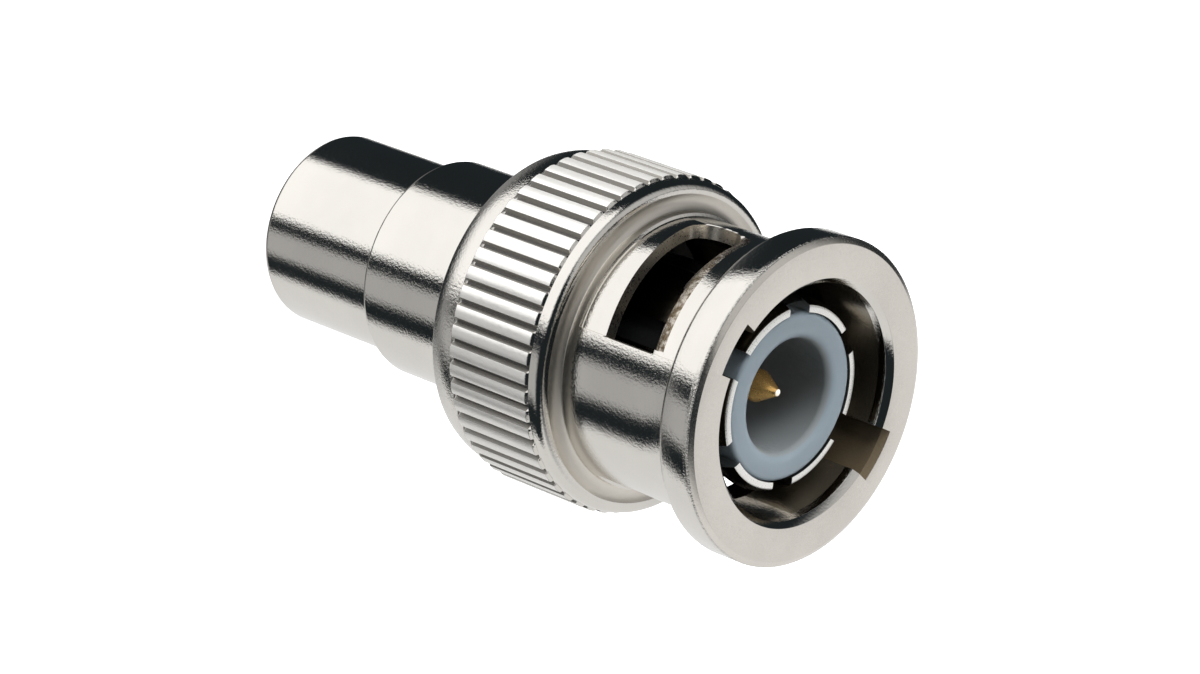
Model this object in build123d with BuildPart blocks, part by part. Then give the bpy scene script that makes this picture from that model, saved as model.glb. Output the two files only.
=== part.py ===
from build123d import *
import math
import os

os.makedirs("parts", exist_ok=True)

# A coaxial adapter: a bayonet plug at one end and a phono jack at the other. All sizes are in millimetres.
# It stands on its jack end, with its axis on Z, the jack's face at Z = 0 and the bayonet mouth at the top.
# The X axis runs through the middle of one of the nut's two entry channels.

# Shell: the turned body
barrel_radius = 4.15
barrel_length = 6.8
barrel_edge_chamfer = 0.16
waist_radius = 4.715
waist_length = 6.35
waist_edge_chamfer = 0.16
neck_radius = 4.15
rim_bore_radius = 3.25
rim_thickness = 0.5
jack_bore_radius = 3.45
web_thickness = 0.8
web_bore_radius = 2.62
tail_bore_radius = 3.35
neck_front_land = 0.3

# Coupling nut: outside
nut_length = 14.55
flange_radius = 6.86
flange_thickness = 1.77
flange_chamfer_width = 0.37
flange_chamfer_height = 0.18
nut_neck_radius = 5.87
nut_neck_length = 6.2
ring_radius = 6.93
ring_front_width = 0.56
ring_face_hollow = 0.2
shoulder_end_radius = 6.72
shoulder_bulge = 0.1

# Coupling nut: straight knurl
knurl_radius = 7.2
knurl_length = 4.62
groove_count = 54
groove_floor_radius = 6.97
groove_top_width = 0.3
groove_floor_width = 0.13
groove_start_angle = -1.77

# Coupling nut: inside
mouth_bore_radius = 4.95
mouth_bore_length = 3.2
mouth_chamfer = 0.14
cavity_radius = 5.15
lip_thickness = 1.2

# Coupling nut: bayonet channels and windows
entry_count = 2
entry_width = 2.15
entry_radius = 5.5
window_entry_angle = 13.0
window_lock_angle = -61.5
window_width = 2.6
window_front_depth = 3.65
window_drop = 0.5
window_corner_radius = 0.5
recess_lock_angle = -94.5
recess_depth = 0.12
recess_length = 5.85

# Washers, spring and ring on the neck
washer_thickness = 0.3
spring_space = 0.9
spring_thickness = 0.22
spring_waves = 3
spring_radius = 5.0
retainer_thickness = 0.48
retainer_radius = 4.72
retainer_groove_radius = 3.75
retainer_gap_angle = 34.0
nut_travel = 0.5

# Gasket at the root of the fingers
gasket_thickness = 1.1
gasket_radius = 4.9
gasket_edge_chamfer = 0.2
gasket_proud = 0.2

# Slotted outer contact
contact_tip_recess = 0.9
contact_bore_radius = 3.53
finger_root_radius = 3.9
finger_crown_radius = 4.05
finger_crown_height = 0.75
finger_tip_radius = 3.86
finger_tip_chamfer = 0.12
finger_count = 6
finger_slot_width = 1.15
finger_slot_root = 1.4
finger_slot_angle = 3.0
contact_tail_bore_radius = 2.64

# Insulator of the plug end
plug_insulator_recess = 0.93
plug_insulator_bore_radius = 2.38
plug_insulator_bore_depth = 8.2
plug_insulator_chamfer = 0.1

# Centre pin
pin_radius = 0.675
pin_tip_recess = 1.56
pin_taper_length = 1.0
pin_nose_radius = 0.12
pin_press_depth = 0.75

# Jack insulator and slit socket contact
jack_hole_radius = 1.7
jack_hole_flare = 0.35
jack_face_thickness = 0.8
socket_bore_radius = 1.625
socket_wall = 0.35
socket_mouth_chamfer = 0.15
socket_bore_length = 13.8
socket_boss_radius = 1.2
socket_boss_length = 1.35
socket_slit_count = 4
socket_slit_width = 0.3
socket_slit_length = 5.5

# Clearances
running_gap = 0.07
washer_gap = 0.1
seat_gap = 0.02
socket_float = 0.05
spring_gap = 0.02
cutter_margin = 0.6

# Heights that follow from the sizes above
shoulder_z = barrel_length + waist_length
mouth_z = shoulder_z + nut_length
lip_front_z = shoulder_z + lip_thickness
thrust_top_z = lip_front_z + washer_thickness
front_washer_z = thrust_top_z + spring_space
retainer_z = front_washer_z + washer_thickness
retainer_top_z = retainer_z + retainer_thickness
neck_top_z = retainer_top_z + neck_front_land
gasket_top_z = retainer_top_z + gasket_thickness
collar_top_z = gasket_top_z - gasket_proud
web_top_z = shoulder_z - seat_gap
web_z = web_top_z - web_thickness
contact_tip_z = mouth_z - contact_tip_recess
plug_face_z = mouth_z - plug_insulator_recess
plug_floor_z = plug_face_z - plug_insulator_bore_depth
pin_tip_z = mouth_z - pin_tip_recess
socket_z = rim_thickness + jack_face_thickness + socket_float
socket_radius = socket_bore_radius + socket_wall
socket_floor_z = socket_z + socket_bore_length
socket_top_z = socket_floor_z + socket_boss_length
pin_base_z = socket_top_z - pin_press_depth
ring_face_z = mouth_z - flange_thickness - nut_neck_length
knurl_top_z = ring_face_z - ring_front_width
knurl_z = knurl_top_z - knurl_length
window_front_z = mouth_z - window_front_depth


def radial_plane(angle):
    """The plane through the axis at an angle from X, with its x pointing outwards and its y up."""
    turn = math.radians(angle)
    return Plane(
        origin=(0, 0, 0),
        x_dir=(math.cos(turn), math.sin(turn), 0),
        z_dir=(math.sin(turn), -math.cos(turn), 0),
    )


def slanted_plane(height, angle, rise):
    """The plane across the axis at a height, climbing by rise per millimetre towards larger angles."""
    turn = math.radians(angle)
    return Plane(
        origin=(0, 0, height),
        x_dir=(math.cos(turn), math.sin(turn), 0),
        z_dir=(rise * math.sin(turn), -rise * math.cos(turn), 1),
    )


def azimuth_of(shape):
    """The angle of a shape's centre about the axis, in degrees."""
    centre = shape.center()
    return math.degrees(math.atan2(centre.Y, centre.X))


def wave_ring(radius, height, amplitude):
    """A closed wavy curve about the axis, for one edge of the wave washer."""
    steps = 8 * spring_waves
    points = []
    for step in range(steps):
        turn = 2 * math.pi * step / steps
        lift = amplitude * math.cos(spring_waves * turn)
        points.append((radius * math.cos(turn), radius * math.sin(turn), height + lift))
    return Edge.make_spline(points, periodic=True)


# Shell: barrel, waist and neck in one turned piece, with the jack's bore below the web
with BuildPart() as shell:
    with BuildSketch(Plane.XZ):
        with BuildLine():
            Polyline(
                (rim_bore_radius, 0),
                (barrel_radius, 0),
                (barrel_radius, barrel_length),
                (waist_radius, barrel_length),
                (waist_radius, shoulder_z),
                (neck_radius, shoulder_z),
                (neck_radius, retainer_z - seat_gap),
                (retainer_groove_radius, retainer_z - seat_gap),
                (retainer_groove_radius, retainer_top_z),
                (neck_radius, retainer_top_z),
                (neck_radius, neck_top_z),
                (tail_bore_radius, neck_top_z),
                (tail_bore_radius, web_top_z),
                (web_bore_radius, web_top_z),
                (web_bore_radius, web_z),
                (jack_bore_radius, web_z),
                (jack_bore_radius, rim_thickness),
                (rim_bore_radius, rim_thickness),
                close=True,
            )
        make_face()
    revolve(axis=Axis.Z)
    circles = shell.edges().filter_by(GeomType.CIRCLE)
    barrel_edges = circles.filter_by(lambda edge: abs(edge.radius - barrel_radius) < seat_gap)
    chamfer(barrel_edges.sort_by(Axis.Z)[0], barrel_edge_chamfer)
    circles = shell.edges().filter_by(GeomType.CIRCLE)
    waist_edges = circles.filter_by(lambda edge: abs(edge.radius - waist_radius) < seat_gap)
    chamfer(waist_edges.sort_by(Axis.Z)[0], waist_edge_chamfer)

# Coupling nut: the cutter for one bayonet window, which drops towards its locked end
window_middle_angle = (window_entry_angle + window_lock_angle) / 2
window_arc = window_entry_angle - window_lock_angle
window_rise = window_drop / (2 * nut_neck_radius * math.sin(math.radians(window_arc / 2)))
window_front_middle_z = window_front_z - window_drop / 2
with BuildPart() as window_cutter:
    with BuildSketch(radial_plane(window_lock_angle)):
        with Locations(((cavity_radius + nut_neck_radius) / 2, window_front_middle_z - window_width / 2)):
            Rectangle(
                nut_neck_radius - cavity_radius + 2 * cutter_margin,
                window_width + window_drop + 2 * cutter_margin,
            )
    revolve(axis=Axis.Z, revolution_arc=window_arc)
    split(
        bisect_by=slanted_plane(window_front_middle_z, window_middle_angle, window_rise),
        keep=Keep.BOTTOM,
    )
    split(
        bisect_by=slanted_plane(window_front_middle_z - window_width, window_middle_angle, window_rise),
        keep=Keep.TOP,
    )
    lock_edges = window_cutter.edges().filter_by(GeomType.LINE)
    lock_edges = lock_edges.filter_by(lambda edge: abs(edge.tangent_at(0.5).Z) < 0.5)
    lock_edges = lock_edges.filter_by(lambda edge: abs(azimuth_of(edge) - window_lock_angle) < 1)
    fillet(lock_edges, window_corner_radius)

# Coupling nut: the shallow recess that the window lies in
recess_arc = window_entry_angle - recess_lock_angle
with BuildPart() as recess_cutter:
    with BuildSketch(radial_plane(recess_lock_angle)):
        with Locations((nut_neck_radius - recess_depth, mouth_z - flange_thickness)):
            Rectangle(2 * recess_depth, recess_length, align=(Align.MIN, Align.MAX))
    revolve(axis=Axis.Z, revolution_arc=recess_arc)

# Coupling nut: turned outside and inside, then knurl, channels, recesses and windows
groove_depth = knurl_radius - groove_floor_radius
groove_flare = (groove_top_width - groove_floor_width) / 2 / groove_depth
groove_reach = groove_depth + cutter_margin
with BuildPart() as coupling_nut:
    with BuildSketch(Plane.XZ):
        with BuildLine():
            Polyline(
                (mouth_bore_radius, mouth_z - mouth_bore_length),
                (mouth_bore_radius, mouth_z - mouth_chamfer),
                (mouth_bore_radius + mouth_chamfer, mouth_z),
                (flange_radius - flange_chamfer_width, mouth_z),
                (flange_radius, mouth_z - flange_chamfer_height),
                (flange_radius, mouth_z - flange_thickness),
                (nut_neck_radius, mouth_z - flange_thickness),
                (nut_neck_radius, ring_face_z),
                ((nut_neck_radius + ring_radius) / 2, ring_face_z - ring_face_hollow),
                (ring_radius, ring_face_z - ring_face_hollow / 2),
                (ring_radius, knurl_top_z),
                (knurl_radius, knurl_top_z),
                (knurl_radius, knurl_z),
                (ring_radius, knurl_z),
                ((ring_radius + shoulder_end_radius) / 2 + shoulder_bulge, (knurl_z + shoulder_z) / 2),
                (shoulder_end_radius, shoulder_z),
                (neck_radius + running_gap, shoulder_z),
                (neck_radius + running_gap, lip_front_z),
                (cavity_radius, lip_front_z),
                (cavity_radius, mouth_z - mouth_bore_length),
                close=True,
            )
        make_face()
    revolve(axis=Axis.Z)
    with BuildSketch(Plane.XY.offset(knurl_z)):
        with PolarLocations(groove_floor_radius, groove_count, start_angle=groove_start_angle):
            Polygon(
                (0, -groove_floor_width / 2),
                (groove_reach, -groove_floor_width / 2 - groove_flare * groove_reach),
                (groove_reach, groove_floor_width / 2 + groove_flare * groove_reach),
                (0, groove_floor_width / 2),
                align=None,
            )
    extrude(amount=knurl_length, mode=Mode.SUBTRACT)
    entry_reach = 2 * (entry_radius - mouth_bore_radius + cutter_margin)
    with BuildSketch(Plane.XY.offset(mouth_z)):
        Circle(entry_radius)
        with PolarLocations(entry_radius, entry_count):
            Rectangle(entry_reach, entry_width, mode=Mode.INTERSECT)
    extrude(amount=-(window_front_depth + window_drop), mode=Mode.SUBTRACT)
    with PolarLocations(0, entry_count):
        add(recess_cutter.part, mode=Mode.SUBTRACT)
    with PolarLocations(0, entry_count):
        add(window_cutter.part, mode=Mode.SUBTRACT)

# Thrust washer: between the nut's lip and the spring
with BuildPart() as thrust_washer:
    with BuildSketch(Plane.XY.offset(lip_front_z)):
        Circle(cavity_radius - washer_gap)
        Circle(neck_radius + running_gap, mode=Mode.SUBTRACT)
    extrude(amount=washer_thickness)

# Front washer: between the spring and the retaining ring
with BuildPart() as front_washer:
    with BuildSketch(Plane.XY.offset(front_washer_z)):
        Circle(cavity_radius - washer_gap)
        Circle(neck_radius + running_gap, mode=Mode.SUBTRACT)
    extrude(amount=washer_thickness)

# Wave washer: a flat ring pressed into waves, free between the two flat washers
wave_amplitude = (spring_space - spring_thickness) / 2 - spring_gap
wave_middle_z = thrust_top_z + spring_space / 2
spring_bore_radius = neck_radius + washer_gap
with BuildPart() as wave_washer:
    wave_top = wave_middle_z + spring_thickness / 2
    wave_bottom = wave_middle_z - spring_thickness / 2
    inner_top = wave_ring(spring_bore_radius, wave_top, wave_amplitude)
    outer_top = wave_ring(spring_radius, wave_top, wave_amplitude)
    inner_bottom = wave_ring(spring_bore_radius, wave_bottom, wave_amplitude)
    outer_bottom = wave_ring(spring_radius, wave_bottom, wave_amplitude)
    edge_pairs = [
        (inner_top, outer_top),
        (inner_bottom, outer_bottom),
        (inner_top, inner_bottom),
        (outer_top, outer_bottom),
    ]
    add(Solid(Shell([Face.make_surface_from_curves(first, second) for first, second in edge_pairs])))

# Retaining ring: split, sprung into the neck's groove
with BuildPart() as retaining_ring:
    with BuildSketch(radial_plane(180 + retainer_gap_angle / 2)):
        with Locations((retainer_groove_radius + seat_gap, retainer_z)):
            Rectangle(
                retainer_radius - retainer_groove_radius - seat_gap,
                retainer_thickness,
                align=(Align.MIN, Align.MIN),
            )
    revolve(axis=Axis.Z, revolution_arc=360 - retainer_gap_angle)

# Gasket: a soft ring around the neck and the contact's collar
with BuildPart() as gasket:
    with BuildSketch(Plane.XZ):
        with Locations((neck_radius + seat_gap, retainer_top_z + seat_gap)):
            Rectangle(
                gasket_radius - neck_radius - seat_gap,
                gasket_thickness - seat_gap,
                align=(Align.MIN, Align.MIN),
            )
    revolve(axis=Axis.Z)
    top_edges = gasket.edges().filter_by(GeomType.CIRCLE).group_by(Axis.Z)[-1]
    chamfer(top_edges.sort_by(SortBy.RADIUS)[-1], gasket_edge_chamfer)

# Outer contact: tail pressed into the neck, collar against its end, and slotted fingers
crown_z = contact_tip_z - finger_crown_height
with BuildPart() as outer_contact:
    with BuildSketch(Plane.XZ):
        with BuildLine():
            Polyline(
                (finger_crown_radius, crown_z),
                (finger_root_radius, crown_z - 2 * finger_crown_height),
                (finger_root_radius, collar_top_z),
                (neck_radius, collar_top_z),
                (neck_radius, neck_top_z),
                (tail_bore_radius - seat_gap, neck_top_z),
                (tail_bore_radius - seat_gap, shoulder_z),
                (contact_tail_bore_radius, shoulder_z),
                (contact_tail_bore_radius, neck_top_z),
                (contact_bore_radius, neck_top_z),
                (contact_bore_radius, contact_tip_z),
                (finger_tip_radius - finger_tip_chamfer, contact_tip_z),
                (finger_tip_radius, contact_tip_z - finger_tip_chamfer),
                close=True,
            )
        make_face()
    revolve(axis=Axis.Z)
    slot_reach = 2 * (finger_crown_radius - contact_bore_radius + seat_gap) + cutter_margin
    with BuildSketch(Plane.XY.offset(contact_tip_z)):
        with PolarLocations(finger_crown_radius, finger_count, start_angle=finger_slot_angle):
            Rectangle(slot_reach, finger_slot_width)
    slot_length = contact_tip_z - collar_top_z - finger_slot_root
    extrude(amount=-slot_length, mode=Mode.SUBTRACT)

# Plug insulator: the sleeve inside the fingers, stepped down behind to hold the socket contact's end
plug_insulator_radius = contact_bore_radius - seat_gap
with BuildPart() as bnc_insulator:
    with BuildSketch(Plane.XZ):
        with BuildLine():
            Polyline(
                (plug_insulator_bore_radius, plug_floor_z),
                (plug_insulator_bore_radius, plug_face_z),
                (plug_insulator_radius, plug_face_z),
                (plug_insulator_radius, neck_top_z),
                (contact_tail_bore_radius - seat_gap, neck_top_z),
                (contact_tail_bore_radius - seat_gap, shoulder_z),
                (socket_radius + seat_gap, shoulder_z),
                (socket_radius + seat_gap, socket_floor_z + socket_wall),
                (socket_boss_radius + seat_gap, socket_floor_z + socket_wall),
                (socket_boss_radius + seat_gap, socket_top_z),
                (pin_radius + seat_gap, socket_top_z),
                (pin_radius + seat_gap, plug_floor_z),
                close=True,
            )
        make_face()
    revolve(axis=Axis.Z)
    face_edges = bnc_insulator.edges().filter_by(GeomType.CIRCLE).group_by(Axis.Z)[-1]
    chamfer(face_edges.sort_by(SortBy.RADIUS)[-1], plug_insulator_chamfer)

# Centre pin: a straight shank with a tapered tip and a small flat nose
with BuildPart() as centre_pin:
    with BuildSketch(Plane.XZ):
        with BuildLine():
            Polyline(
                (0, pin_tip_z),
                (0, pin_base_z),
                (pin_radius, pin_base_z),
                (pin_radius, pin_tip_z - pin_taper_length),
                (pin_nose_radius, pin_tip_z),
                close=True,
            )
        make_face()
    revolve(axis=Axis.Z)

# Jack insulator: the plastic sleeve in the barrel, with a flared hole for the mating plug's centre pin
with BuildPart() as rca_insulator:
    with BuildSketch(Plane.XZ):
        with BuildLine():
            Polyline(
                (jack_hole_radius + jack_hole_flare, rim_thickness),
                (jack_bore_radius - seat_gap, rim_thickness),
                (jack_bore_radius - seat_gap, web_z),
                (socket_radius + seat_gap, web_z),
                (socket_radius + seat_gap, rim_thickness + jack_face_thickness),
                (jack_hole_radius, rim_thickness + jack_face_thickness),
                close=True,
            )
        make_face()
    revolve(axis=Axis.Z)

# Socket contact: a slit tube open at the jack's face, closed behind by a boss that the pin is pressed into
with BuildPart() as rca_socket_contact:
    with BuildSketch(Plane.XZ):
        with BuildLine():
            Polyline(
                (socket_bore_radius + socket_mouth_chamfer, socket_z),
                (socket_radius, socket_z),
                (socket_radius, socket_floor_z + socket_wall),
                (socket_boss_radius, socket_floor_z + socket_wall),
                (socket_boss_radius, socket_top_z),
                (pin_radius + seat_gap, socket_top_z),
                (pin_radius + seat_gap, pin_base_z),
                (0, pin_base_z),
                (0, socket_floor_z),
                (socket_bore_radius, socket_floor_z),
                (socket_bore_radius, socket_z + socket_mouth_chamfer),
                close=True,
            )
        make_face()
    revolve(axis=Axis.Z)
    with BuildSketch(Plane.XY.offset(socket_z)):
        with PolarLocations(socket_radius, socket_slit_count):
            Rectangle(2 * socket_wall + socket_slit_width, socket_slit_width)
    extrude(amount=socket_slit_length, mode=Mode.SUBTRACT)

pieces = {
    "shell": shell,
    "coupling_nut": coupling_nut,
    "outer_contact": outer_contact,
    "bnc_insulator": bnc_insulator,
    "centre_pin": centre_pin,
    "rca_insulator": rca_insulator,
    "rca_socket_contact": rca_socket_contact,
    "gasket": gasket,
    "retaining_ring": retaining_ring,
    "front_washer": front_washer,
    "wave_washer": wave_washer,
    "thrust_washer": thrust_washer,
}
for name, piece in pieces.items():
    piece.part.label = name
    export_step(piece.part, f"parts/{name}.step")
    print(name, "volume", round(piece.part.volume, 2), "mm3")
print("length", round(mouth_z, 3), "mm, nut travel", nut_travel, "mm")
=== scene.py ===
# %% [markdown]
# # A coaxial adapter: bayonet plug to phono jack
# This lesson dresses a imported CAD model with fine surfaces, metal finishes and studio light. The frame
# that it loads holds every solid at its real size and place, in metres, so each new piece is drawn where
# the CAD says and nothing has to be fitted. The adapter stands on its jack end with its axis on Z.

# %% Load the frame
import math

import bmesh
import bpy
import numpy as np
from mathutils import Matrix, Vector


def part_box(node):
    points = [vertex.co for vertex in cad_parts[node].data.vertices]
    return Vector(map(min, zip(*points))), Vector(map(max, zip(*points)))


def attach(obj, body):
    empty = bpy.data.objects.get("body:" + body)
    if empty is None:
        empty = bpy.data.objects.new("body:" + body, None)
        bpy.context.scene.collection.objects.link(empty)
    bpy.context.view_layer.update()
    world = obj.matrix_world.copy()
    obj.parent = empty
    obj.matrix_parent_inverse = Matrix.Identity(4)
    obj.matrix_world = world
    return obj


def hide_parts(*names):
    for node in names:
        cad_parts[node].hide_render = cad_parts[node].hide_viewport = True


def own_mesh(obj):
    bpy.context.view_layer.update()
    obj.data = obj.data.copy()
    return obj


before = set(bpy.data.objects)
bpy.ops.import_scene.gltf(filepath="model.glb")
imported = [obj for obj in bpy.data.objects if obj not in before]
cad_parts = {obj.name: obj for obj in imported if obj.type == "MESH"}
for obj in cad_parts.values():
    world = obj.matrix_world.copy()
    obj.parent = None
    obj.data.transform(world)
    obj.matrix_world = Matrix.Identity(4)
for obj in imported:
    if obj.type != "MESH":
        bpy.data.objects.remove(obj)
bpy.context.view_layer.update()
MM = 0.001
mouth_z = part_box("coupling_nut")[1].z / MM
print("nodes:", sorted(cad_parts), "mouth at", round(mouth_z, 3), "mm")

# %% [markdown]
# ## The camera
# The photograph looks down into the bayonet mouth from 40 degrees above the floor, with the camera rolled
# over, so that the adapter seems to lie across the picture. The camera is therefore turned in three
# steps: round the axis, up, and about its own line of sight. The mouth's centre is then put at its
# measured place in the view, given as how far right, up and behind it lies. A long lens keeps the
# perspective as flat as it was.

# %% Place the camera
camera_azimuth = math.radians(9.895)
camera_elevation = math.radians(40.236)
camera_roll = math.radians(110.54)
camera_lens = 146.1
sensor_width = 36.0
mouth_in_view = Vector((8.261, -2.663, -193.455)) * MM

camera_data = bpy.data.cameras.new("camera")
camera_data.lens = camera_lens
camera_data.sensor_width = sensor_width
camera_data.clip_start = 0.01
camera_data.clip_end = 10.0
camera = bpy.data.objects.new("camera", camera_data)
bpy.context.scene.collection.objects.link(camera)
toward_camera = Vector((
    math.cos(camera_elevation) * math.cos(camera_azimuth),
    math.cos(camera_elevation) * math.sin(camera_azimuth),
    math.sin(camera_elevation),
))
level = (-toward_camera).to_track_quat("-Z", "Y")
turn = level.to_matrix() @ Matrix.Rotation(camera_roll, 3, "Z")
place = Vector((0, 0, mouth_z * MM)) - turn @ mouth_in_view
camera.matrix_world = Matrix.Translation(place) @ turn.to_4x4()
bpy.context.scene.camera = camera
print("camera at", [round(value / MM, 2) for value in place], "mm")

# %% [markdown]
# ## The studio's surroundings
# Polished nickel has no look of its own: it shows the studio around it. Seen from 40 degrees above, an
# upright wall mirrors what lies 40 degrees below the horizon, at an azimuth that turns twice as fast as
# the wall does. So the studio is set up as a photographer sets it up round shiny metal: a dark room, and
# in it a few soft boxes and cards, each one a patch of even grey with soft edges. The dark room between
# them gives the plate its dark bands. The camera itself sees plain white.

# %% Soft boxes and cards
world = bpy.data.worlds.new("studio")
bpy.context.scene.world = world
world.use_nodes = True
sky = world.node_tree.nodes
sky_links = world.node_tree.links
sky.clear()
room_colour = (0.016, 0.021, 0.024)
side_softness, end_softness = 3.0, 14.0
panels = {
    "low card": {"azimuth": (-180, 180), "elevation": (-72, -54), "brightness": 0.28},
    "key box": {"azimuth": (-62, 22), "elevation": (-64, 26), "brightness": 1.3},
    "grey card": {"azimuth": (38, 69), "elevation": (-58, 2), "brightness": 0.5},
    "side box": {"azimuth": (94, 206), "elevation": (-62, 54), "brightness": 0.85},
    "top box": {"azimuth": (-150, -20), "elevation": (34, 100), "brightness": 0.6},
}


def sky_math(operation, *values):
    """One arithmetic node of the surroundings: each value is a number or another node's output."""
    node = sky.new("ShaderNodeMath")
    node.operation = operation
    for socket, value in zip(node.inputs, values):
        if isinstance(value, bpy.types.NodeSocket):
            sky_links.new(value, socket)
        else:
            socket.default_value = value
    return node.outputs[0]


def within(away, reach, softness):
    """1 within reach of a panel's middle, 0 beyond it, with a smooth step as wide as twice the softness."""
    step = sky.new("ShaderNodeMapRange")
    step.interpolation_type = "SMOOTHSTEP"
    sky_links.new(away, step.inputs["Value"])
    limits = {"From Min": reach - softness, "From Max": reach + softness, "To Min": 1, "To Max": 0}
    for name, value in limits.items():
        step.inputs[name].default_value = value
    return step.outputs[0]


direction = sky.new("ShaderNodeSeparateXYZ")
sky_links.new(sky.new("ShaderNodeTexCoord").outputs["Generated"], direction.inputs[0])
azimuth_angle = sky_math("DEGREES", sky_math("ARCTAN2", direction.outputs["Y"], direction.outputs["X"]))
elevation_angle = sky_math("DEGREES", sky_math("ARCSINE", direction.outputs["Z"]))
room = sky.new("ShaderNodeRGB").outputs[0]
room.default_value = (*room_colour, 1)
around = room
for panel in panels.values():
    west, east = panel["azimuth"]
    low, high = panel["elevation"]
    half_height = (high - low) / 2
    turned_away = sky_math("WRAP", sky_math("SUBTRACT", azimuth_angle, (west + east) / 2), 180, -180)
    sideways = within(sky_math("ABSOLUTE", turned_away), (east - west) / 2, side_softness)
    raised_away = sky_math("SUBTRACT", elevation_angle, (low + high) / 2)
    upright = within(sky_math("ABSOLUTE", raised_away), half_height, min(end_softness, half_height))
    layer = sky.new("ShaderNodeMix")
    layer.data_type = "RGBA"
    sky_links.new(sky_math("MULTIPLY", sideways, upright), layer.inputs["Factor"])
    sky_links.new(around, layer.inputs["A"])
    layer.inputs["B"].default_value = (*[panel["brightness"]] * 3, 1)
    around = layer.outputs["Result"]
seen = sky.new("ShaderNodeMix")
seen.data_type = "RGBA"
sky_links.new(sky.new("ShaderNodeLightPath").outputs["Is Camera Ray"], seen.inputs["Factor"])
sky_links.new(around, seen.inputs["A"])
seen.inputs["B"].default_value = (1, 1, 1, 1)
background = sky.new("ShaderNodeBackground")
sky_links.new(seen.outputs["Result"], background.inputs["Color"])
sky_output = sky.new("ShaderNodeOutputWorld")
sky_links.new(background.outputs[0], sky_output.inputs["Surface"])
print("surroundings:", {name: panel["brightness"] for name, panel in panels.items()})

# %% [markdown]
# ## The table and the lamps
# The adapter stands on a pale table. It glows softly, so that it comes out as white as the surroundings
# and shows no shadow, and neither the plate nor the plastics see it. An overhead lamp and a key lamp on
# the right model the plastics and the satin face. The plate doesn't mirror them, because it has its soft
# boxes.

# %% The table
floor_size = 4.0
floor_drop = 0.01 * MM
table_grey, table_roughness, table_glow = 0.5, 0.9, 1.0
half_floor = floor_size / 2
floor_corners = [(-1, -1), (1, -1), (1, 1), (-1, 1)]
floor_points = [(x * half_floor, y * half_floor, -floor_drop) for x, y in floor_corners]
floor_mesh = bpy.data.meshes.new("floor")
floor_mesh.from_pydata(floor_points, [], [(0, 1, 2, 3)])
floor = bpy.data.objects.new("floor", floor_mesh)
bpy.context.scene.collection.objects.link(floor)
floor.visible_glossy = False
floor.visible_shadow = False
floor.visible_diffuse = False
floor_paper = bpy.data.materials.new("floor_paper")
floor_paper.use_nodes = True
paper_shader = floor_paper.node_tree.nodes["Principled BSDF"]
paper_shader.inputs["Base Color"].default_value = (table_grey, table_grey, table_grey, 1)
paper_shader.inputs["Roughness"].default_value = table_roughness
paper_shader.inputs["Emission Color"].default_value = (1, 1, 1, 1)
paper_shader.inputs["Emission Strength"].default_value = table_glow
floor_mesh.materials.append(floor_paper)
print("table", floor_size, "m wide")

# %% The lamps
lamp_size = 0.5
lamp_height = 0.7
lamp_power = 6.0
lamp_data = bpy.data.lights.new("overhead", "AREA")
lamp_data.size = lamp_size
lamp_data.energy = lamp_power
lamp = bpy.data.objects.new("overhead", lamp_data)
lamp.location = (0, 0, lamp_height)
lamp.visible_glossy = False
bpy.context.scene.collection.objects.link(lamp)

key_azimuth, key_elevation, key_distance = math.radians(-60), math.radians(22), 0.5
key_size, key_power = 0.3, 5.0
key_data = bpy.data.lights.new("key", "AREA")
key_data.size = key_size
key_data.energy = key_power
key = bpy.data.objects.new("key", key_data)
toward_key = Vector((
    math.cos(key_elevation) * math.cos(key_azimuth),
    math.cos(key_elevation) * math.sin(key_azimuth),
    math.sin(key_elevation),
))
key.location = toward_key * key_distance
key.rotation_euler = toward_key.to_track_quat("Z", "Y").to_euler()
key.visible_glossy = False
bpy.context.scene.collection.objects.link(key)
bpy.context.scene.view_settings.view_transform = "Standard"
print("overhead lamp", lamp_height, "m up, key lamp", key_distance, "m away")
# %% [markdown]
# ## Nickel plate
# Every metal wall is nickel on turned brass. The plate keeps two marks of its making: rings left by the
# tool, which run round the axis, and a fine orange peel from the bath, which breaks up the edges of the
# reflections. Both are far too small to model, so they are bumps of a few thousandths of a millimetre.
# The rings are noise over radius and height alone, and the peel is noise in all three directions.

# %% Node helpers
def linked(tree, kind, settings=None, **values):
    """A node with its inputs set by name: each value is a number, a colour or another node's output."""
    node = tree.nodes.new(kind)
    for name, value in (settings or {}).items():
        setattr(node, name, value)
    for name, value in values.items():
        socket = node.inputs[int(name[1:])] if name[1:].isdigit() else node.inputs[name.replace("_", " ")]
        if isinstance(value, bpy.types.NodeSocket):
            tree.links.new(value, socket)
        else:
            socket.default_value = value
    return node


def finish_of(name, colour, metallic, roughness, **sockets):
    """A new material with its Principled shader's own values set: the shader and the tree come back."""
    made = bpy.data.materials.new(name)
    made.use_nodes = True
    shader = made.node_tree.nodes["Principled BSDF"]
    shader.inputs["Base Color"].default_value = (*colour, 1)
    shader.inputs["Metallic"].default_value = metallic
    shader.inputs["Roughness"].default_value = roughness
    for socket, value in sockets.items():
        shader.inputs[socket.replace("_", " ")].default_value = value
    return made, shader, made.node_tree


def in_millimetres(tree):
    """The object's own coordinates in millimetres."""
    place = linked(tree, "ShaderNodeTexCoord").outputs["Object"]
    return linked(tree, "ShaderNodeVectorMath", {"operation": "SCALE"}, _0=place, Scale=1 / MM).outputs[0]


def noise(tree, vector, scale, detail=2.0, rough=0.5):
    """Smooth noise between 0 and 1, with about scale grains to a millimetre."""
    made = linked(tree, "ShaderNodeTexNoise", Vector=vector, Scale=scale, Detail=detail, Roughness=rough)
    return made.outputs["Fac"]


def between(tree, value, low, high, start=0.3, end=0.7):
    """The value's share of the way from start to end, drawn out between low and high."""
    made = linked(tree, "ShaderNodeMapRange", Value=value, From_Min=start, From_Max=end, To_Min=low,
                  To_Max=high)
    return made.outputs[0]


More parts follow.
